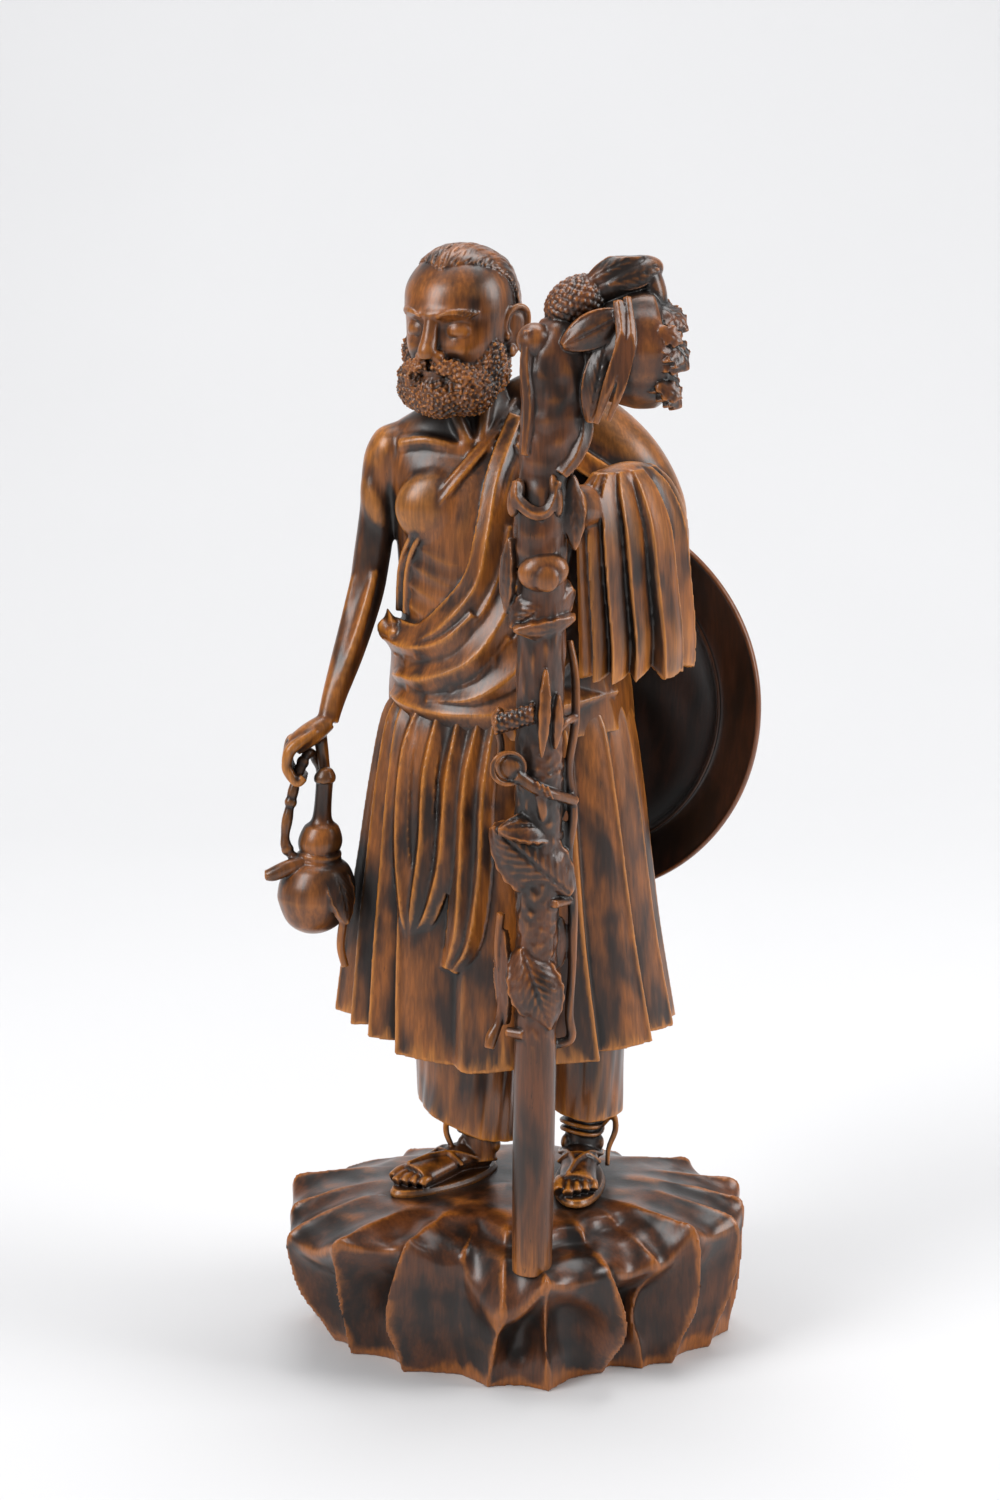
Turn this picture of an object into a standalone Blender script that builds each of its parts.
"""A hardwood okimono: a bearded sage who stands on a carved rock with a leafy staff, a gourd and a hat.

Every sub-part is one carved solid. The figure's own places are in carver's millimetres: x to the
viewer's right, y away from the viewer, z up from the soles, at a height of CARVED_HEIGHT. They are
scaled to FIGURE_HEIGHT and stood on the rock.
"""

import math

import bmesh
import bpy
import numpy as np
from mathutils import Euler, Matrix, Vector

# Real sizes, in metres
FIGURE_HEIGHT = 0.338
ROCK_WIDTH = 0.168
ROCK_DEPTH = 0.136
ROCK_HEIGHT = 0.058
STAFF_DIAMETER = 0.0145
SOCKET_DEPTH = 0.0125
HAT_DIAMETER = 0.144
HAT_WALL = 0.0032
HAT_BRIM = 0.018
HAT_CROWN_DEPTH = 0.015
GOURD_HEIGHT = 0.060
GOURD_DIAMETER = 0.0276
HANDLE_DIAMETER = 0.0036
SANDAL_THICKNESS = 0.0026
SEAT_GAP = 0.0003
PASS_GAP = 0.0008

# The height at which the figure's own places below are written
CARVED_HEIGHT = 338.0
SHARE = FIGURE_HEIGHT / CARVED_HEIGHT

# Fineness of each solid: the grid it is fused on, in the figure's millimetres, and its triangles
FIGURE_GRID = 0.75
FIGURE_TRIANGLES = 3250
STAFF_GRID = 0.9
STAFF_TRIANGLES = 1760
ROCK_COLUMNS = 3
GOURD_GRID = 0.6
GOURD_TRIANGLES = 520
HAT_STEPS = 24
EASE_STEPS = 5
CRUMB_VERTICES = 12


def clear_scene():
    for obj in list(bpy.data.objects):
        bpy.data.objects.remove(obj)


def collection_named(name):
    made = bpy.data.collections.new(name)
    bpy.context.scene.collection.children.link(made)
    return made


def wood(name, colour, roughness):
    made = bpy.data.materials.new(name)
    made.use_nodes = True
    shader = made.node_tree.nodes["Principled BSDF"]
    shader.inputs["Base Color"].default_value = (*colour, 1)
    shader.inputs["Roughness"].default_value = roughness
    shader.inputs["Metallic"].default_value = 0
    return made


def curve_rows(rows, count):
    """The rows joined by a Catmull-Rom curve, read off at count even steps."""
    rows = np.array(rows, float)
    last = len(rows) - 1
    padded = np.vstack([2 * rows[0] - rows[1], rows, 2 * rows[-1] - rows[-2]])
    steps = np.linspace(0, last, count)
    start = np.minimum(steps.astype(int), last - 1)
    t = (steps - start)[:, None]
    a, b, c, d = (padded[start + k] for k in range(4))
    return 0.5 * (
        2 * b
        + (c - a) * t
        + (2 * a - 5 * b + 4 * c - d) * t**2
        + (3 * b - a - 3 * c + d) * t**3
    )


def add_rings(bm, rings):
    """A closed skin over rings of equal length, with a fan over each end."""
    count, sides = rings.shape[:2]
    verts = [[bm.verts.new(p) for p in ring] for ring in rings]
    for i in range(count - 1):
        for j in range(sides):
            k = (j + 1) % sides
            bm.faces.new((verts[i][j], verts[i][k], verts[i + 1][k], verts[i + 1][j]))
    for row, turned in ((0, True), (count - 1, False)):
        middle = bm.verts.new(rings[row].mean(0))
        for j in range(sides):
            pair = (verts[row][j], verts[row][(j + 1) % sides])
            bm.faces.new((*(reversed(pair) if turned else pair), middle))


def oval_rings(levels, sides, count):
    """Level ovals from rows of (z, centre x, centre y, half width, reach to front, reach to back)."""
    angle = np.linspace(0, 2 * math.pi, sides, endpoint=False)
    z, cx, cy, half, front, back = curve_rows(levels, count).T[:, :, None]
    reach = np.where(np.sin(angle) < 0, front, back)
    rings = np.empty((count, sides, 3))
    rings[..., 0] = cx + half * np.cos(angle)
    rings[..., 1] = cy + reach * np.sin(angle)
    rings[..., 2] = z
    return rings


def tube_rings(rows, sides=10, count=None, flat=1.0, facing=(0, -1, 0)):
    """Rings along rows of (x, y, z, radius). flat thins them along the facing direction."""
    line = curve_rows(rows, count or 3 * len(rows))
    points, radius = line[:, :3], line[:, 3]
    ahead = np.gradient(points, axis=0)
    ahead /= np.linalg.norm(ahead, axis=1)[:, None]
    side = np.cross(ahead, np.array(facing, float) + 1e-3)
    side /= np.linalg.norm(side, axis=1)[:, None]
    up = np.cross(side, ahead)
    angle = np.linspace(0, 2 * math.pi, sides, endpoint=False)[None, :, None]
    reach = radius[:, None, None]
    spoke = np.cos(angle) * side[:, None] + flat * np.sin(angle) * up[:, None]
    return points[:, None] + reach * spoke


def add_tube(bm, rows, **shape):
    add_rings(bm, tube_rings(rows, **shape))


def add_ball(bm, centre, radii, turn=(0, 0, 0), fine=16):
    """An ellipsoid, turned in degrees about x, y and z."""
    spin = Euler([math.radians(angle) for angle in turn], "XYZ").to_matrix().to_4x4()
    place = Matrix.Translation(centre) @ spin @ Matrix.Diagonal((*radii, 1))
    bmesh.ops.create_uvsphere(bm, u_segments=fine, v_segments=fine // 2, radius=1, matrix=place)


def settled(obj):
    """The mesh that the object's modifiers make, with the modifiers taken off."""
    mesh = bpy.data.meshes.new_from_object(obj.evaluated_get(bpy.context.evaluated_depsgraph_get()))
    obj.modifiers.clear()
    obj.data = mesh
    return mesh


def island(vert, left):
    """The vertices joined to one, taken out of those that are left."""
    found, stack = [], [vert]
    while stack:
        found.append(stack.pop())
        near = {edge.other_vert(found[-1]) for edge in found[-1].link_edges} & left
        left -= near
        stack += near
    return found


def fuse(name, bm, grid, triangles, material, home):
    """One solid from overlapping closed shells in the figure's millimetres: fused on a grid, eased,
    thinned to its triangles, and stood on the rock."""
    bmesh.ops.recalc_face_normals(bm, faces=bm.faces)
    rough = bpy.data.meshes.new(name)
    bm.to_mesh(rough)
    bm.free()
    obj = bpy.data.objects.new(name, rough)
    home.objects.link(obj)
    remesh = obj.modifiers.new("Fuse", "REMESH")
    remesh.mode = "VOXEL"
    remesh.voxel_size = grid
    ease = obj.modifiers.new("Ease", "SMOOTH")
    ease.factor = 0.5
    ease.iterations = EASE_STEPS
    fused = settled(obj)
    obj.modifiers.new("Thin", "DECIMATE").ratio = min(1.0, triangles / (2 * len(fused.polygons)))
    thin = settled(obj)
    tidy = bmesh.new()
    tidy.from_mesh(thin)
    left = set(tidy.verts)
    while left:
        crumb = island(left.pop(), left)
        if len(crumb) < CRUMB_VERTICES:
            bmesh.ops.delete(tidy, geom=crumb, context="VERTS")
    bmesh.ops.transform(tidy, matrix=ON_ROCK, verts=tidy.verts)
    tidy.to_mesh(thin)
    tidy.free()
    thin.name = name
    thin.materials.clear()
    thin.materials.append(material)
    thin.shade_smooth()
    return obj


def cut(obj, cutter):
    made = obj.modifiers.new("Cut_" + cutter.name, "BOOLEAN")
    made.operation = "DIFFERENCE"
    made.object = cutter


def join(obj, other):
    made = obj.modifiers.new("Join_" + other.name, "BOOLEAN")
    made.operation = "UNION"
    made.use_self = True
    made.object = other


def cutter_from(name, bm, home, place=None):
    if place is not None:
        bmesh.ops.transform(bm, matrix=place, verts=bm.verts)
    bmesh.ops.recalc_face_normals(bm, faces=bm.faces)
    mesh = bpy.data.meshes.new(name)
    bm.to_mesh(mesh)
    bm.free()
    obj = bpy.data.objects.new(name, mesh)
    home.objects.link(obj)
    obj.hide_render = True
    obj.display_type = "WIRE"
    return obj


# From the figure's own millimetres to the place where it stands
ON_ROCK = Matrix.Translation((0, 0, ROCK_HEIGHT + SEAT_GAP)) @ Matrix.Scale(SHARE, 4)
TO_MM = 1 / SHARE

# The staff's axis, in the figure's millimetres: at its foot and at the height of the burl
STAFF_FOOT_X = 6.0
STAFF_TOP_X = 9.0
STAFF_Y = -60.0
BURL_FOOT_Z = 262.0
STAFF_RADIUS_MM = STAFF_DIAMETER / 2 * TO_MM

# Bare body: level ovals of the chest, then the neck
TORSO = [
    (172, -1, 2, 40, 33, 30),
    (190, -2, 2, 39, 32, 29),
    (206, -4, 2, 36, 31, 28),
    (226, -6, 3, 35, 29, 27),
    (246, -7, 4, 35.5, 28, 27),
    (260, -8, 5, 37, 25, 26),
    (270, -9, 6, 37, 19, 23),
    (277, -11, 6, 31, 15, 19),
    (283, -14, 6, 19, 13, 15),
    (290, -16, 5, 12, 11.5, 13),
    (306, -18, 2, 11, 11, 14),
]
# The robe's edge across the chest, as the viewer sees it: x at each height
ROBE_EDGE = [
    (176, -60),
    (197, -44),
    (199, -33),
    (204, -26),
    (213, -17),
    (229, -11),
    (246, -9),
    (263, -5),
    (282, 1),
]
ROBE_THICKNESS = 3.2
# The robe's skin dips this far into the body outside the edge, and rises to full over this width
ROBE_DIP = 2.5
ROBE_RAMP = 3.0
# The rolled cloth round the chest and the waist: rows of (x, z, radius), laid on the robe
ROBE_ROLLS = [
    [(1, 281, 2.2), (-6, 262, 2.4), (-9, 245, 2.6), (-13, 226, 3.2), (-24, 211, 3.8), (-35, 202, 3.2)],
    [(-42, 206, 3), (-45, 207, 3.6), (-43, 203.5, 4), (-35, 202, 4.2), (-24, 206, 4), (-14, 216, 3)],
    [(-41, 190, 3), (-38, 191, 3.8), (-30, 192, 4.4), (-16, 199, 4.4), (-6, 212, 3.6), (0, 226, 3)],
    [(-30, 184, 3), (-14, 187, 4.2), (0, 197, 4), (8, 210, 3)],
    [(-41, 183, 4), (-36, 182, 4.6), (-22, 181, 4.6), (-4, 182, 4.4), (14, 184, 4.2), (34, 186, 4)],
    [(24, 206, 3), (14, 197, 4), (4, 190, 3.4)],
    [(0, 272, 2), (10, 262, 3), (16, 246, 3.4), (14, 226, 3)],
]

# The skirt of the robe from the belt to the hem
SKIRT = [
    (184, -2, 1, 39, 31, 28),
    (174, -2.5, 1, 44, 34.5, 32),
    (150, -3, 0, 48, 37, 35),
    (122, -3.5, 0, 51.5, 40, 38),
    (96, -4, 0, 55, 42.5, 40.5),
    (62, -3.5, 0, 60, 45.5, 43.5),
]
# The lapped pleats round the skirt: where each one's edge stands in degrees (0 right, -90 front), at the
# belt and at the hem, the side on which its lap tucks in (1 towards larger angles), and its depth's share
SKIRT_PLEATS = [
    (-178, -168, -1, 0.8),
    (-165, -152, -1, 1.0),
    (-154, -141, -1, 1.0),
    (-143, -128, -1, 1.0),
    (-106, -105, -1, 0.4),
    (-84, -82, 1, 0.2),
    (-64, -58, 1, 1.0),
    (-43, -33, 1, 1.0),
    (-22, -15, 1, 0.9),
    (-4, -1, 1, 0.6),
    (22, 22, 1, 0.7),
    (48, 48, 1, 0.8),
    (75, 75, 1, 0.7),
    (104, 105, -1, 0.7),
    (130, 132, -1, 0.8),
    (156, 162, -1, 0.8),
]
# How low the hem hangs round the skirt
HEM_Z = [
    (-180, 69),
    (-155, 66),
    (-135, 60),
    (-110, 55),
    (-90, 57),
    (-50, 59),
    (-10, 63),
    (40, 61),
    (90, 60),
    (140, 63),
    (180, 69),
]
PLEAT_DEPTH = 2.6
SKIRT_HEM = 0.5
HEM_WALL = 0.08
HEM_HOLLOW = 13.0
# The cloth that falls from the belt over the skirt's front: rows of (x, z, radius) down each fold
FRONT_FALLS = [
    [(-33, 181, 2.0), (-38, 165, 2.6), (-40, 138, 3.0), (-38.5, 112, 3.0), (-37, 101, 1.4)],
    [(-26, 181, 2.0), (-30.5, 160, 2.6), (-32, 135, 2.8), (-35, 112, 2.8), (-36, 102, 1.2)],
    [(-19, 181, 2.0), (-23, 158, 2.6), (-25.5, 130, 2.8), (-30, 112, 2.6), (-35, 103, 1.2)],
    [(-12, 181, 2.0), (-17, 158, 2.6), (-18.5, 128, 3.0), (-20, 106, 3.0), (-24, 92, 1.4)],
    [(-7, 180, 2.0), (-11, 155, 2.4), (-12.5, 125, 2.8), (-16, 102, 2.6), (-22, 91, 1.2)],
]

# The sleeve that hangs from the forearm
SLEEVE = [
    (266, 37, -26, 15, 5, 5),
    (259, 38, -25.5, 22, 8, 7.5),
    (246, 40, -24, 26, 10, 9),
    (228, 41, -23, 26, 11, 10),
    (208, 42, -22, 25.5, 12, 11),
    (196, 42, -22, 25, 11.5, 10.5),
]
SLEEVE_TURN = 48.0
SLEEVE_PLEATS = [
    (-168, -170, -1, 0.6),
    (-146, -146, -1, 1.0),
    (-122, -122, -1, 0.8),
    (-98, -94, -1, 1.0),
    (-76, -66, 1, 0.8),
    (-52, -38, 1, 1.0),
    (-26, -12, 1, 0.8),
    (20, 20, 1, 0.6),
    (90, 90, -1, 0.6),
    (150, 150, -1, 0.6),
]
SLEEVE_DEPTH = 2.3
SLEEVE_HEM = 1.2
# The lap tucks in this many degrees beside a pleat's edge, and each panel's middle bellies out a little
LAP_ANGLE = 3.0
PANEL_BELLY = 0.25

# The mantle over the far shoulder and upper arm: (x, y, z, radius)
MANTLE = [
    (-4, 10, 281, 8),
    (8, 8, 283, 12),
    (22, 6, 275, 15),
    (36, 3, 262, 16),
    (45, 0, 247, 15),
    (46, -6, 236, 12.5),
]
MANTLE_FOLDS = [
    [(6, -8, 284, 2.4), (20, -12, 270, 3.4), (32, -14, 262, 3.4), (44, -14, 254, 2.6)],
    [(10, 4, 290, 2.4), (28, 0, 280, 4), (46, -2, 264, 4.4), (54, -4, 246, 3)],
]
FOREARM = [(48, -4, 240, 11), (36, -22, 248, 9.5), (24, -38, 254, 8), (18, -47, 256, 7)]

# The near arm, from the shoulder to the wrist
ARM = [
    (-36, 5, 271, 8),
    (-44, 5, 266, 8.6),
    (-48, 5, 246, 6.8),
    (-50.5, 5, 230, 6.6),
    (-53, 4, 216, 6.3),
    (-58.5, -2, 198, 5.7),
    (-63.5, -8, 183, 4.5),
    (-66, -11, 174, 3.9),
]
PALM = [(-66, -11, 174, 4.2), (-72, -14, 170, 5.2), (-78, -16, 166, 4.6)]
# The fingers close over the gourd's handle: (x, z, share of the radius) down one, and where they lie
FINGER = [(-76, 168, 1.0), (-79, 166, 1.0), (-79.5, 158, 0.95), (-76.5, 154, 0.86), (-74, 156, 0.8)]
FINGER_RADIUS = 2.1
FINGER_SPREAD = 3.1
FIRST_FINGER_Y = -20.5
THUMB = [(-69, -12, 171, 2.6), (-68, -11, 163, 2.3), (-67, -10.5, 154, 1.9)]

# The head, in its own millimetres: the face looks along -y, and z is up from the line of the eyes
HEAD_PLACE = (-19.5, -3, 313)
HEAD_TURN = -30.0
HEAD_NOD = 4.0

# The gourd hangs from the hand: the middle of its foot
GOURD_FOOT = (-71.5, -18, 99)
GOURD_LEAN = 5.0
GOURD_PROFILE = [
    (0, 0),
    (0.35, 0.008),
    (0.72, 0.07),
    (0.97, 0.19),
    (1.0, 0.25),
    (0.95, 0.32),
    (0.78, 0.40),
    (0.52, 0.445),
    (0.44, 0.455),
    (0.47, 0.48),
    (0.55, 0.52),
    (0.56, 0.57),
    (0.45, 0.64),
    (0.25, 0.70),
    (0.22, 0.90),
    (0.27, 0.915),
    (0.27, 0.95),
    (0.16, 0.99),
    (0, 1.0),
]
# The twig handle's two sides, from the gourd's waist up through the hand
HANDLE = [
    (-73, -20, 124.5),
    (-78, -21, 127),
    (-81, -20, 133),
    (-79, -18.5, 146),
    (-76, -17, 157),
    (-72.5, -13, 163),
    (-69.5, -7, 157),
    (-67.5, -4.5, 145),
    (-68, -4.5, 133),
    (-69, -8, 126.5),
    (-70, -13, 124.5),
]

# The stub, the leaf and the hanging stem where the handle meets the gourd's waist
TWIG_STUB = [(-74, -22, 126, 2.2), (-80, -24, 124, 2.8), (-85, -25, 122, 2.6), (-88, -25, 121.5, 1.8)]
GOURD_LEAF = ((-67, -21, 128), (-59, -30, 105), 5.5, (0.5, -0.7, 0.4), 3, 1.5)
GOURD_STEM = [(-60, -28.5, 108, 1.6), (-61.5, -28, 97, 1.5), (-60, -28, 89, 1.4)]

# Where the hat's rim rests on the skirt's back, which part of the rim that is in degrees round the hat,
# and how the hat is turned and leans
HAT_REST = (33.8, 31.9, 99.2)
HAT_REST_BEARING = -78.0
HAT_YAW = -26.0
HAT_LEAN = -5.0


def staff_axis(z):
    """The staff's middle at a height, in the figure's millimetres."""
    share = min(max(z / BURL_FOOT_Z, -0.2), 1.0)
    return STAFF_FOOT_X + (STAFF_TOP_X - STAFF_FOOT_X) * share, STAFF_Y


def add_torso(bm):
    add_rings(bm, oval_rings(TORSO, 40, 30))
    add_ball(bm, (-43, 5, 269), (8.6, 9, 8.6))
    add_ball(bm, (-26, -14, 248), (13, 6, 10))
    add_tube(bm, [(-40, -2, 273, 2.6), (-30, -10, 275, 2.4), (-20, -10, 272, 2.2)], sides=8)


def front_of(levels, x, z):
    """How far forward the skin over a table of level ovals lies at a place, as the viewer sees it."""
    rows = np.array(sorted(levels), float)
    cx, cy, half, front = (np.interp(z, rows[:, 0], rows[:, k]) for k in (1, 2, 3, 4))
    return cy - front * math.sqrt(max(1 - ((x - cx) / half) ** 2, 0.02))


def body_front(x, z):
    return front_of(TORSO, x, z)


def skirt_front(x, z):
    return front_of(SKIRT, x, z)


def add_robe(bm):
    rings = oval_rings(TORSO[:9], 96, 60)
    heights, edge = zip(*ROBE_EDGE)
    covered = rings[..., 0] - np.interp(rings[..., 2], heights, edge)
    lift = (ROBE_THICKNESS + ROBE_DIP) * np.clip(covered / ROBE_RAMP, 0, 1) - ROBE_DIP
    centre = rings.mean(1, keepdims=True)
    out = rings - centre
    out /= np.linalg.norm(out, axis=2, keepdims=True)
    add_rings(bm, rings + out * lift[..., None])
    for roll in ROBE_ROLLS:
        rows = [(x, body_front(x, z) - ROBE_THICKNESS + 0.2 * r, z, r) for x, z, r in roll]
        add_tube(bm, rows, sides=12, count=20)


def pleat_profile(pleats, down):
    """Angles in degrees round a pleated cloth, and how far it stands out there as a share of the depth: a
    pair at each pleat's edge and lap, and one at the middle of each panel."""
    pairs = []
    for top, bottom, side, share in pleats:
        edge = top + (bottom - top) * down
        pair = [(edge, share), (edge + side * LAP_ANGLE, -share)]
        pairs.append(pair if side > 0 else pair[::-1])
    first = [(angle + 360, out) for angle, out in pairs[0]]
    rows = []
    for pair, following in zip(pairs, pairs[1:] + [first]):
        (a, out), (b, after) = pair[1], following[0]
        rows += [*pair, ((a + b) / 2, (out + after) / 2 + PANEL_BELLY)]
    return np.array(rows).T


def pleated_rings(levels, pleats, depth, hem, turn=0.0):
    """Level rings over a pleated cloth. The pleats deepen towards the last ring, where what stands out
    hangs lower than what tucks in."""
    rings = []
    for k, (z, cx, cy, half, front, back) in enumerate(levels):
        down = k / (len(levels) - 1)
        angle, out = pleat_profile(pleats, down)
        angle = np.radians(angle)
        rise = depth * (0.3 + 0.7 * down) * out
        reach = np.where(np.sin(angle) < 0, front, back)
        x = (half + rise) * np.cos(angle)
        y = (reach + rise) * np.sin(angle)
        a = math.radians(turn)
        across = cx + x * math.cos(a) - y * math.sin(a)
        along = cy + x * math.sin(a) + y * math.cos(a)
        rings.append(np.column_stack([across, along, z - hem * down**3 * out]))
    return np.array(rings)


def make_skirt(home):
    rings = pleated_rings(SKIRT, SKIRT_PLEATS, PLEAT_DEPTH, SKIRT_HEM)
    at, height = zip(*HEM_Z)
    hem = np.interp(np.degrees(np.arctan2(rings[-1, :, 1], rings[-1, :, 0])), at, height)
    top, bottom = SKIRT[0][0], SKIRT[-1][0]
    share = (top - rings[..., 2]) / (top - bottom)
    rings[..., 2] = top - share * (top - hem)
    middle = rings[-1].mean(0)
    inner = rings[-1] + (middle - rings[-1]) * HEM_WALL
    inner[:, 2] = rings[-1, :, 2]
    roof = inner + (middle - inner) * HEM_WALL * 1.5
    roof[:, 2] = inner[:, 2].max() + HEM_HOLLOW
    bm = bmesh.new()
    add_rings(bm, np.concatenate([rings, inner[None], roof[None]]))
    return cutter_from("skirt_pleats", bm, home, ON_ROCK)


def make_sleeve(home):
    bm = bmesh.new()
    add_rings(bm, pleated_rings(SLEEVE, SLEEVE_PLEATS, SLEEVE_DEPTH, SLEEVE_HEM, turn=SLEEVE_TURN))
    return cutter_from("sleeve_pleats", bm, home, ON_ROCK)


def add_falls(bm):
    for fold in FRONT_FALLS:
        add_tube(bm, [(x, skirt_front(x, z) - 0.6 * r, z, r) for x, z, r in fold], sides=10, count=20)


def add_mantle(bm):
    add_tube(bm, MANTLE, sides=24, count=24)
    add_tube(bm, FOREARM, sides=16, count=12)
    add_ball(bm, (17, -50, 256), (7, 7, 9))
    for fold in MANTLE_FOLDS:
        add_tube(bm, fold, sides=8, count=14)


def add_arm(bm):
    add_tube(bm, ARM, sides=16, count=30)
    add_tube(bm, PALM, sides=12, count=8, flat=0.8, facing=(-0.4, 0, 0.9))
    for k in range(4):
        y = FIRST_FINGER_Y + FINGER_SPREAD * k
        add_tube(bm, [(x, y, z, share * FINGER_RADIUS) for x, z, share in FINGER], sides=10)
    add_tube(bm, THUMB, sides=10)


def head_matrix():
    turn = Matrix.Rotation(math.radians(HEAD_TURN), 4, "Z")
    return Matrix.Translation(HEAD_PLACE) @ turn @ Matrix.Rotation(math.radians(HEAD_NOD), 4, "X")


# The skull as level ovals in the head's millimetres: z, then the middle, the half width and the reaches
SKULL = [
    (25.8, 0, 2, 2.2, 2, 3),
    (24, 0, 2, 8.2, 7.5, 10),
    (20, 0, 2, 14.2, 13.5, 16.8),
    (14, 0, 1, 18, 17.6, 21),
    (7, 0, 1, 19, 19.8, 22.6),
    (0, 0, 1, 18.6, 19.8, 22),
    (-7, 0, 1, 17.6, 19.6, 20),
    (-14, 0, 1, 15.6, 18.8, 17),
    (-20, 0, 0, 12.8, 16.6, 14),
    (-25, 0, -1, 8.5, 12.6, 11),
    (-27, 0, -2, 3, 5, 5),
]
# What rises from the face, seen from the front: height, half width, half height, x, z; x is mirrored
FACE = [
    (-2.6, 4.2, 3.4, 7.2, 1.0),
    (2.4, 3.0, 2.3, 7.2, -0.2),
    (1.7, 6.0, 1.7, 7.5, 5.6),
    (2.4, 1.9, 5.0, 0, -1.0),
    (4.4, 2.3, 3.6, 0, -7.0),
    (2.6, 1.9, 1.7, 2.9, -8.6),
    (1.5, 4.5, 3.5, 10.5, -7.0),
]
# The moustache and the beard, as balls: middle and radii, mirrored
WHISKERS = [
    ((4.5, -18.5, -13), (5.6, 4.6, 2.9)),
    ((10.5, -15, -15.5), (4.6, 4.6, 3.6)),
    ((0, -14.5, -21), (11, 8.5, 9)),
    ((8, -9, -20.5), (10.5, 10, 9.5)),
    ((13.5, -2, -14), (5.6, 9, 10)),
]


def add_head(bm):
    rings = oval_rings(SKULL, 56, 40)
    raised = np.zeros(rings.shape[:2])
    for height, half_width, half_height, x, z in FACE:
        for side in (-1, 1) if x else (1,):
            across = (rings[..., 0] - side * x) / half_width
            raised += height * np.exp(-across**2 - ((rings[..., 2] - z) / half_height) ** 2)
    rings[..., 1] -= raised * (rings[..., 1] < 0)
    head = bmesh.new()
    add_rings(head, rings)
    for side in (-1, 1):
        add_ball(head, (side * 19, 4, -2), (2.2, 5.6, 8.4), turn=(-8, 0, side * 16))
        for middle, radii in WHISKERS:
            add_ball(head, (side * middle[0], *middle[1:]), radii)
    add_ball(head, (0, 14, -10), (13, 11, 20), fine=20)
    bmesh.ops.transform(head, matrix=head_matrix(), verts=head.verts)
    part = bpy.data.meshes.new("head_shells")
    head.to_mesh(part)
    head.free()
    bm.from_mesh(part)
    bpy.data.meshes.remove(part)


# The trouser legs as level ovals, how steeply the near one's hem runs down to the right, and the ankles
NEAR_TROUSER = [(92, -18, 0, 20, 22, 20), (50, -17.5, -2, 18, 20, 18), (24, -17.5, -3, 17.5, 19, 17)]
FAR_TROUSER = [(92, 24, 0, 18, 22, 20), (50, 26, -1, 13.5, 20, 18), (28, 26.5, -1, 12.8, 19, 16)]
NEAR_HEM_SLOPE = 0.42
ANKLES = [
    [(-13, 3, 40, 8), (-13, 3, 16, 6.4), (-14, 1, 6, 6.2)],
    [(25, 5, 40, 8), (25, 5, 16, 6.4), (25, 3, 6, 6.2)],
]


def add_legs(bm):
    near = oval_rings(NEAR_TROUSER, 30, 12)
    middle = NEAR_TROUSER[-1][1]
    near[-2:, :, 2] -= (near[-2:, :, 0] - middle) * NEAR_HEM_SLOPE
    add_rings(bm, near)
    add_rings(bm, oval_rings(FAR_TROUSER, 30, 10))
    for ankle in ANKLES:
        add_tube(bm, ankle, sides=14)


# Each foot: the heel's and the toes' place on the rock
FEET = {"near": ((-10, 8), (-41, -19)), "far": ((25, 12), (22, -29))}
SOLE_HALF_WIDTH = 9.6
SOLE_OVERHANG = 4.0
# The bare foot on its sole: (share of the way from the heel, height of its middle, radius)
INSTEP = [(0.05, 6, 6.2), (0.3, 8, 6.6), (0.6, 6.4, 6.6), (0.85, 4.6, 7.2)]
TOE_SPREAD = 2.8
TOE_RADIUS = 1.8
BIG_TOE_RADIUS = 2.5


def sole_outline(heel, toe, grow=0.0):
    """Points round a sandal's sole, from the heel past the toes."""
    heel, toe = Vector(heel), Vector(toe)
    ahead = (toe - heel).normalized()
    side = Vector((ahead.y, -ahead.x))
    middle = (heel + toe) / 2
    half = (toe - heel).length / 2 + SOLE_OVERHANG + grow
    outline = []
    for k in range(24):
        a = 2 * math.pi * k / 24
        waist = 1 - 0.14 * math.cos(a - math.pi) ** 2 * (math.cos(a) < 0)
        breadth = (SOLE_HALF_WIDTH + grow) * waist
        outline.append(middle + ahead * half * math.cos(a) + side * breadth * math.sin(a))
    return outline


def add_feet(bm):
    thick = SANDAL_THICKNESS * TO_MM
    for heel, toe in FEET.values():
        outline = sole_outline(heel, toe)
        rings = np.array([[(p.x, p.y, z) for p in outline] for z in (0, thick)])
        add_rings(bm, rings)
        h, t = Vector((*heel, thick)), Vector((*toe, thick))
        across = Vector((t.y - h.y, h.x - t.x, 0)).normalized()
        rows = [(*(h.lerp(t, share) + Vector((0, 0, z - 2.5))), r) for share, z, r in INSTEP]
        add_tube(bm, rows, sides=14, count=14, flat=0.72, facing=(0, 0, 1))
        for k in range(5):
            aside = across * (k - 2) * TOE_SPREAD
            size = BIG_TOE_RADIUS if k == 4 else TOE_RADIUS
            start = h.lerp(t, 0.82) + aside + Vector((0, 0, 2.8))
            end = h.lerp(t, 1.0 - 0.03 * abs(k - 1.5)) + aside + Vector((0, 0, 1.6))
            add_tube(bm, [(*start, size), (*end, size)], sides=8, count=4)


# The hat's cord over the shoulder, as (x, z): two strands side by side
STRAP = [(0, 286), (-12, 272), (-26, 256), (-36, 240), (-40, 228), (-41, 212)]
STRAP_RADIUS = 1.5
STRAP_SPACING = 2.4


def add_strap(bm):
    for aside in (0, STRAP_SPACING):
        rows = [(x + aside, body_front(x + aside, z) - STRAP_RADIUS, z, STRAP_RADIUS) for x, z in STRAP]
        add_tube(bm, rows, sides=8, count=16)


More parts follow.
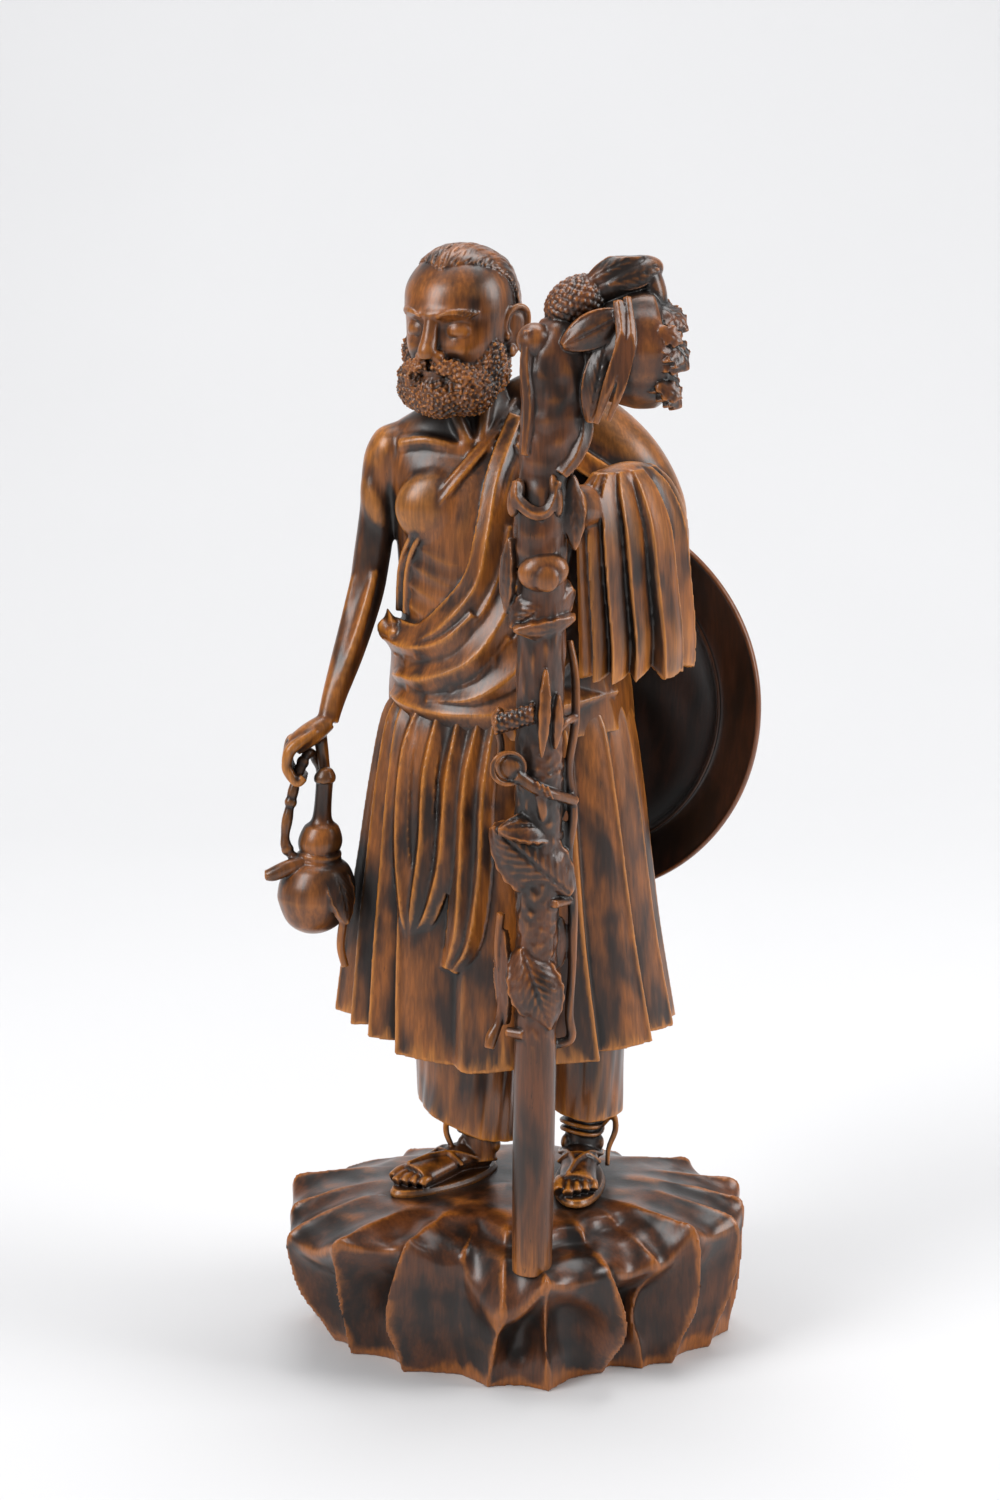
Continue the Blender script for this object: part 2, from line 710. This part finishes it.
def make_figure(home, cutters, material):
    bm = bmesh.new()
    for add in (add_torso, add_robe, add_falls, add_mantle, add_arm, add_head):
        add(bm)
    for add in (add_legs, add_feet, add_strap):
        add(bm)
    figure = fuse("figure", bm, FIGURE_GRID, FIGURE_TRIANGLES, material, home)
    for name in ("skirt_pleats", "sleeve_pleats"):
        join(figure, cutters[name])
    for name in ("staff_way", "hat_seat", "handle_way", "sole_plane"):
        cut(figure, cutters[name])
    return figure


SOCKET_FLOOR = ROCK_HEIGHT - SOCKET_DEPTH
STAFF_FOOT_Z = (SOCKET_FLOOR - ROCK_HEIGHT) * TO_MM
# The pole's thickness as a share of its foot's: at each height over the soles
POLE = [(20, 1.0), (75, 1.0), (100, 0.95), (125, 1.05), (160, 1.12), (185, 1.12), (BURL_FOOT_Z, 1.12)]


def pole_rows():
    """The pole's middle and radius from its foot to under the burl."""
    rows = [(STAFF_FOOT_Z, 0.96), *POLE]
    return [(*staff_axis(z), z, share * STAFF_RADIUS_MM) for z, share in rows]


# The burl at the staff's head: (x, y, z, radius)
BURL = [
    (8, -60, 238, 8.6),
    (8.2, -60, 254, 8.8),
    (9.5, -59, 268, 8.6),
    (12, -57.5, 280, 10.8),
    (13.5, -56, 294, 12),
    (14, -55, 306, 12.4),
    (14, -54, 315, 10),
    (13, -53, 320, 5),
]


def leaf_rings(base, tip, half_width, facing, bow, curl=0.0, thickness=1.5, rows=9):
    """Rings over a leaf blade. It runs from base to tip, bows towards facing by bow at its middle, and
    its edges curl away from facing by curl."""
    base, tip, facing = (np.array(v, float) for v in (base, tip, facing))
    ahead = tip - base
    facing = facing / np.linalg.norm(facing)
    side = np.cross(ahead / np.linalg.norm(ahead), facing)
    across = np.linspace(-1, 1, 7)
    rings = []
    for s in np.linspace(0, 1, rows):
        width = half_width * max(math.sin(math.pi * min(s * 0.93 + 0.05, 1)) ** 0.7, 0.22)
        middle = base + ahead * s + facing * bow * math.sin(math.pi * s)
        blade = [middle + side * (u * width) - facing * (curl * u * u) for u in across]
        half = facing * (thickness / 2)
        rings.append([p + half for p in blade] + [p - half for p in blade[::-1]])
    return np.array(rings)


def add_leaf(bm, *args, **shape):
    add_rings(bm, leaf_rings(*args, **shape))


LEAF_THICKNESS = 2.6
# The leaves on the pole: base, tip, half width, facing, bow and curl
LEAVES = [
    ((19, -62, 125), (-8, -66, 150), 11.5, (0.05, -1, 0.1), 4.5, 5.5),
    ((16, -60, 146), (-6, -70, 150), 6.0, (0.1, -0.8, 0.6), 4.0, 2.0),
    ((2, -65, 107), (12, -66, 78), 9.5, (0.0, -1, 0.1), 4.5, 4.5),
    ((19, -60, 231), (-2, -64, 218), 9.0, (0.0, -1, 0.0), 5.0, 4.5),
    ((20, -62, 221), (-1, -68, 218), 3.6, (0.0, -0.9, -0.4), 4.0, 1.0),
    ((-2, -62, 248), (-3, -61, 222), 3.6, (-0.8, -0.6, 0), 1.0, 1.0),
    ((10, -70, 205), (8.5, -70.5, 175), 2.0, (0.2, -1, 0), 1.5, 0.4),
    ((14, -67, 196), (13, -67, 177), 1.8, (0.5, -0.8, 0), 1.0, 0.4),
    ((15, -58, 172), (15, -58, 150), 3.2, (0.5, -0.8, 0), 1.0, 0.6),
    ((16, -58, 150), (15, -58, 134), 3.2, (0.5, -0.8, 0), 1.0, 0.6),
    ((15, -58, 116), (15, -58, 98), 3.4, (0.5, -0.8, 0), 1.0, 0.6),
    ((-4, -60, 112), (-3, -60, 78), 3.6, (-0.7, -0.7, 0), 1.5, 0.6),
    ((18.5, -62, 269), (19.5, -63, 244), 3.8, (0.2, -1, 0), 1.5, 1.0),
]
# Stems: the long vine beside the pole and its side shoots
STEMS = [
    [
        (18, -56, 212, 1.3),
        (20, -57, 200, 1.5),
        (20, -58, 184, 1.6),
        (18, -58, 168, 1.5),
        (19.5, -58, 152, 1.7),
        (18, -58, 138, 1.5),
        (19.5, -58, 122, 1.8),
        (19.5, -58, 100, 1.5),
        (18.5, -58, 82, 1.6),
        (19, -57, 72, 1.8),
        (12, -58, 70, 1.8),
    ],
    [(11, -66, 178, 1.3), (16, -63, 185, 1.5), (20, -58, 186, 1.7)],
    [(0, -70, 169, 2.4), (7, -69, 164, 2.2), (13, -66, 161, 1.9), (20, -58, 157, 2.0)],
    [(8, -68, 163, 1.9), (9, -68, 156, 1.7), (9, -66, 150, 1.2)],
    [(13, -67, 123, 1.5), (19, -58, 122, 1.7)],
    [
        (-5, -60, 118, 1.5),
        (-6, -60, 104, 1.4),
        (-4.5, -60, 92, 1.5),
        (-5.5, -60, 80, 1.5),
        (-8, -61, 74, 2.2),
        (-9, -62, 70, 1.8),
    ],
    [(-3, -62, 76, 1.8), (3, -65, 76, 2.0)],
    [(-5, -63, 190, 1.5), (-7, -62, 186, 1.4), (-5, -62, 178, 1.3), (-5.5, -63, 168, 1.3)],
]


# Buds, a scaly cone, a flower and knots on the pole: middle, radii and turn
BUDS = [
    ((9, -67, 237.5), (8.6, 5, 6.6), (0, -10, 0)),
    ((-0.5, -68, 188), (7, 4, 3.6), (0, -6, 0)),
    ((-2.5, -70, 171.5), (5.2, 2.4, 5.2), (0, 0, -15)),
    ((0, -66, 262), (3.4, 4, 7), (0, 12, 0)),
    ((13, -67, 263), (3, 3.4, 8), (0, -8, 0)),
]
# The cone-fruit, the leaves and the cuff on the staff's head: middle, radii and turn
CROWN_BALLS = [
    ((6, -60, 313), (6, 6, 6), (0, 0, 0)),
    ((20, -53, 325), (11, 10, 8), (0, -30, 0)),
    ((34, -51, 331.5), (15.5, 10, 7), (0, -22, 0)),
    ((45, -53, 329), (4.4, 6, 10), (0, -14, 0)),
    ((25, -65, 317.5), (12.5, 4.4, 5.6), (0, -34, 8)),
    ((26, -66, 299), (4.6, 4.6, 13), (0, 10, 0)),
]
# The bundle at the staff's head: a leaf-wrapped cup, its mouth to the right
BUNDLE = [
    (20, -54, 303, 6),
    (26, -54, 305, 13),
    (33, -53, 307.5, 18),
    (41, -52, 310, 20),
    (47, -51, 311, 18.5),
    (51, -51, 311.5, 13),
]
# Ragged blades round the mouth: base and tip
FRILL_HALF_WIDTH = 7.0
FRILL = [
    ((44, -58, 325), (56, -60, 316)),
    ((46, -66, 316), (56, -66, 304)),
    ((44, -62, 303), (54, -61, 291)),
    ((44, -44, 325), (55, -42, 312)),
    ((44, -42, 304), (54, -42, 296)),
]


def add_crown(bm):
    """The burl at the staff's head, and the leaf-wrapped bundle on it."""
    add_tube(bm, BURL, sides=18, count=26)
    add_tube(bm, BUNDLE, sides=22, count=16)
    for middle, radii, turn in CROWN_BALLS:
        add_ball(bm, middle, radii, turn=turn)
    for base, tip in FRILL:
        add_leaf(bm, base, tip, FRILL_HALF_WIDTH, (0.8, -0.5, 0.2), 2.5, curl=2.0, thickness=LEAF_THICKNESS)


def make_staff(home, material):
    bm = bmesh.new()
    add_tube(bm, pole_rows(), sides=24, count=40)
    for base, tip, half_width, facing, bow, curl in LEAVES:
        add_leaf(bm, base, tip, half_width, facing, bow, curl=curl, thickness=LEAF_THICKNESS)
    for stem in STEMS:
        add_tube(bm, stem, sides=8)
    for middle, radii, turn in BUDS:
        add_ball(bm, middle, radii, turn=turn)
    add_crown(bm)
    return fuse("staff", bm, STAFF_GRID, STAFF_TRIANGLES, material, home)


def make_gourd(home, material):
    bm = bmesh.new()
    radius, height = GOURD_DIAMETER / 2 * TO_MM, GOURD_HEIGHT * TO_MM
    x, y, foot = GOURD_FOOT
    levels = [
        (foot + z * height, x + GOURD_LEAN * z, y, *[max(r, 0.02) * radius] * 3)
        for r, z in GOURD_PROFILE
    ]
    add_rings(bm, oval_rings(levels, 28, 70))
    thick = HANDLE_DIAMETER / 2 * TO_MM
    add_tube(bm, [(*p, thick) for p in HANDLE], sides=10, count=36)
    add_tube(bm, TWIG_STUB, sides=10)
    base, tip, half_width, facing, bow, curl = GOURD_LEAF
    add_leaf(bm, base, tip, half_width, facing, bow, curl=curl, thickness=LEAF_THICKNESS)
    add_tube(bm, GOURD_STEM, sides=8)
    return fuse("gourd", bm, GOURD_GRID, GOURD_TRIANGLES, material, home)


# The inside of the crown: share of its radius, share of its depth
CROWN = [(0, 1.0), (0.4, 0.93), (0.8, 0.62), (0.96, 0.28)]
# The small lip round the crown, how broad it is, and how far the brim's edge stands up
LIP = 0.0012
LIP_WIDTH = 0.002
BRIM_RISE = 0.0045


def hat_profile():
    """The hat's wall as (radius, height) round its middle: the inside out to the rim, and the outside
    back from it."""
    rim = HAT_DIAMETER / 2
    step = rim - HAT_BRIM
    inside = [(step * out, -HAT_CROWN_DEPTH * deep) for out, deep in CROWN]
    inside += [(step, LIP), (step + LIP_WIDTH, 0), (rim, BRIM_RISE)]
    outside = [(r, z - HAT_WALL) for r, z in reversed(inside)]
    return inside, outside


def hat_matrix():
    yaw = Matrix.Rotation(math.radians(HAT_YAW), 4, "Z")
    turn = yaw @ Matrix.Rotation(math.radians(90 + HAT_LEAN), 4, "X")
    rim = Matrix.Rotation(math.radians(HAT_REST_BEARING), 4, "Z") @ Vector((HAT_DIAMETER / 2, 0, BRIM_RISE))
    return Matrix.Translation(ON_ROCK @ Vector(HAT_REST) - turn @ rim) @ turn


def make_hat(home, material):
    """A round hat turned from its wall's profile, its hollow towards the figure's back."""
    inside, outside = hat_profile()
    bm = bmesh.new()
    verts = [bm.verts.new((r, 0, z)) for r, z in inside + outside]
    for a, b in zip(verts[:-1], verts[1:]):
        bm.edges.new((a, b))
    mesh = bpy.data.meshes.new("hat")
    bm.to_mesh(mesh)
    bm.free()
    hat = bpy.data.objects.new("hat", mesh)
    home.objects.link(hat)
    turn = hat.modifiers.new("Turn", "SCREW")
    turn.axis = "Z"
    turn.steps = turn.render_steps = HAT_STEPS
    turn.use_merge_vertices = True
    turn.merge_threshold = 0.0001
    turn.use_normal_calculate = True
    hat.matrix_world = hat_matrix()
    mesh.materials.append(material)
    return hat


# The rock's spurs round its rim: bearing in degrees (0 to the right, -90 to the viewer), reach as a
# share of the half width or depth, rim height as a share of the rock's height, how far the staff's
# shelf steps down behind it, bearing and reach at the floor, how far it bulges on the way down, and
# the niche up to the next spur
SPURS = [
    (-192, 1.00, 0.90, 0.0, -188, 0.90, 0.02, 0.05),
    (-172, 0.98, 0.86, 0.0, -172, 0.82, 0.05, 0.06),
    (-156, 1.07, 0.80, 0.0, -164, 0.82, 0.05, 0.14),
    (-134, 1.10, 0.91, 0.0, -150, 0.82, 0.00, 0.28),
    (-119, 0.95, 0.93, 0.1, -127, 0.80, 0.13, 0.08),
    (-106, 0.80, 0.81, 0.3, -108, 0.72, 0.03, 0.04),
    (-93, 1.00, 0.56, 0.8, -98, 0.85, 0.00, 0.17),
    (-83, 1.07, 0.79, 1.0, -81, 0.90, -0.06, 0.20),
    (-67, 1.02, 0.81, 0.8, -60, 0.76, 0.16, 0.24),
    (-51, 0.95, 0.75, 0.5, -48, 0.82, -0.10, 0.10),
    (-41, 1.01, 0.95, 0.0, -38, 0.86, 0.08, 0.14),
    (-20, 1.02, 0.86, 0.0, -20, 0.90, 0.05, 0.08),
    (-6, 1.00, 0.88, 0.0, -6, 0.95, 0.02, 0.06),
    (7, 1.00, 0.91, 0.0, 9, 0.96, 0.00, 0.13),
    (29, 0.90, 0.92, 0.0, 30, 0.92, 0.00, 0.14),
    (53, 0.81, 0.85, 0.0, 53, 0.88, 0.02, 0.12),
    (80, 0.87, 0.76, 0.0, 82, 0.94, 0.02, 0.15),
    (105, 0.84, 0.79, 0.0, 104, 0.87, 0.02, 0.14),
    (127, 0.82, 0.87, 0.0, 127, 0.93, 0.02, 0.12),
    (148, 0.91, 0.82, 0.0, 148, 0.90, 0.02, 0.12),
]
# Stations across the top, from the middle to the rim: share of the reach, and the height as a share of
# the way from the rim's height up to the top's. The shelf's own heights are shares of the rock's.
TOP_RISE = 1.012
PLATEAU = [(0.14, 1.0), (0.58, 0.98), (0.72, 0.82), (0.88, 0.5)]
SHELF = [(0.14, TOP_RISE), (0.66, 0.97), (0.76, 0.86), (0.9, 0.832)]
# Stations down the side: share of the way down, how much of the niche is cut there, and of the bulge
SIDE = [
    (0.0, 0.28, 0.0),
    (0.3, 1.0, 0.9),
    (0.56, 0.95, 1.0),
    (0.8, 0.55, 0.4),
    (1.0, 0.35, 0.0),
]
RIM_DIP = 0.09


def rock_column(spur, following, share):
    """The rock's skin from the middle of the top over the rim to the floor, a share of the way from one
    spur to the following one."""
    hollow = math.sin(math.pi * share) ** 0.75
    between = [u + (v - u) * share for u, v in zip(spur, following)]
    bearing, reach, rim, step, floor_bearing, foot, bulge = between[:7]
    niche = spur[7] * hollow
    rim -= RIM_DIP * hollow
    column = []
    for (near, rise), (far, shelf) in zip(PLATEAU, SHELF):
        out = near + (far - near) * step
        height = rim + (TOP_RISE - rim) * rise
        column.append((bearing, out * (reach - niche * SIDE[0][1]), height + (shelf - height) * step))
    for down, cutting, bulging in SIDE:
        turned = bearing + (floor_bearing - bearing) * down
        out = reach + (foot - reach) * down + bulge * bulging - niche * cutting
        column.append((turned, out, rim * (1 - down)))
    angle, out, height = np.array(column).T
    x = out * ROCK_WIDTH / 2 * np.cos(np.radians(angle))
    y = out * ROCK_DEPTH / 2 * np.sin(np.radians(angle))
    return np.column_stack([x, y, height * ROCK_HEIGHT])


def make_rock(home, cutters, material):
    """A loft whose columns stand on the spurs and in the niches between them."""
    first = SPURS[0]
    following = SPURS[1:] + [(first[0] + 360, *first[1:4], first[4] + 360, *first[5:])]
    columns = [
        rock_column(spur, after, k / ROCK_COLUMNS)
        for spur, after in zip(SPURS, following)
        for k in range(ROCK_COLUMNS)
    ]
    bm = bmesh.new()
    add_rings(bm, np.array(columns).transpose(1, 0, 2))
    bmesh.ops.recalc_face_normals(bm, faces=bm.faces)
    mesh = bpy.data.meshes.new("rock_base")
    bm.to_mesh(mesh)
    bm.free()
    mesh.materials.append(material)
    rock = bpy.data.objects.new("rock_base", mesh)
    home.objects.link(rock)
    for name in ("standing_places", "staff_socket"):
        cut(rock, cutters[name])
    return rock


# A cutter's end ring at the axis keeps this radius, so that its faces aren't slivers
MIDDLE_HOLE = 1e-4


def add_box(bm, low, high):
    middle = [(a + b) / 2 for a, b in zip(low, high)]
    size = [b - a for a, b in zip(low, high)]
    bmesh.ops.create_cube(bm, size=1, matrix=Matrix.Translation(middle) @ Matrix.Diagonal((*size, 1)))


def make_cutters(home):
    """What is cut away for the neighbours, each larger than its neighbour by a named gap."""
    gap = PASS_GAP * TO_MM
    made = {"skirt_pleats": make_skirt(home), "sleeve_pleats": make_sleeve(home)}
    bm = bmesh.new()
    rows = [(x, y, z, r + gap) for x, y, z, r in pole_rows()[1:-1] + BURL]
    add_rings(bm, tube_rings(rows, sides=24, count=40))
    made["staff_way"] = cutter_from("staff_way", bm, home, ON_ROCK)

    bm = bmesh.new()
    wall = [(r, z + PASS_GAP) for r, z in hat_profile()[0]]
    rim, height = wall.pop()
    under = -HAT_DIAMETER / 2
    wall += [(rim + PASS_GAP, height), (rim + PASS_GAP, under), (0, under)]
    reach, level = (np.array(v)[:, None] for v in zip(*wall))
    angle = np.linspace(0, 2 * math.pi, 48, endpoint=False)
    reach = np.maximum(reach, MIDDLE_HOLE)
    rings = [reach * np.cos(angle), reach * np.sin(angle), level + 0 * angle]
    add_rings(bm, np.stack(rings, axis=2))
    made["hat_seat"] = cutter_from("hat_seat", bm, home, hat_matrix())

    bm = bmesh.new()
    thick = HANDLE_DIAMETER / 2 * TO_MM + gap
    add_rings(bm, tube_rings([(*p, thick) for p in HANDLE], sides=14, count=40))
    made["handle_way"] = cutter_from("handle_way", bm, home, ON_ROCK)

    reach = max(ROCK_WIDTH, ROCK_DEPTH, FIGURE_HEIGHT)
    bm = bmesh.new()
    add_box(bm, (-reach, -reach, -reach), (reach, reach, ROCK_HEIGHT + SEAT_GAP))
    made["sole_plane"] = cutter_from("sole_plane", bm, home)

    bm = bmesh.new()
    levels = (ROCK_HEIGHT, ROCK_HEIGHT * 2)
    for heel, toe in FEET.values():
        outline = [p * SHARE for p in sole_outline(heel, toe, grow=gap)]
        add_rings(bm, np.array([[(*p, z) for p in outline] for z in levels]))
    made["standing_places"] = cutter_from("standing_places", bm, home)

    bm = bmesh.new()
    x, y = (v * SHARE for v in staff_axis(STAFF_FOOT_Z))
    radius = STAFF_DIAMETER / 2 + PASS_GAP
    levels = (SOCKET_FLOOR, ROCK_HEIGHT * 2)
    around = np.linspace(0, 2 * math.pi, 32, endpoint=False)
    ring = np.column_stack([x + radius * np.cos(around), y + radius * np.sin(around)])
    add_rings(bm, np.array([[(*p, z) for p in ring] for z in levels]))
    made["staff_socket"] = cutter_from("staff_socket", bm, home)
    return made


def main():
    clear_scene()
    home = collection_named("hardwood okimono")
    helpers = collection_named("cutters")
    carved = wood("oiled hardwood", (0.20, 0.075, 0.025), 0.38)
    dark = wood("stained hardwood", (0.085, 0.034, 0.015), 0.34)
    cutters = make_cutters(helpers)
    make_rock(home, cutters, dark)
    make_figure(home, cutters, carved)
    make_staff(home, dark)
    make_gourd(home, carved)
    make_hat(home, dark)


if __name__ == "__main__":
    main()
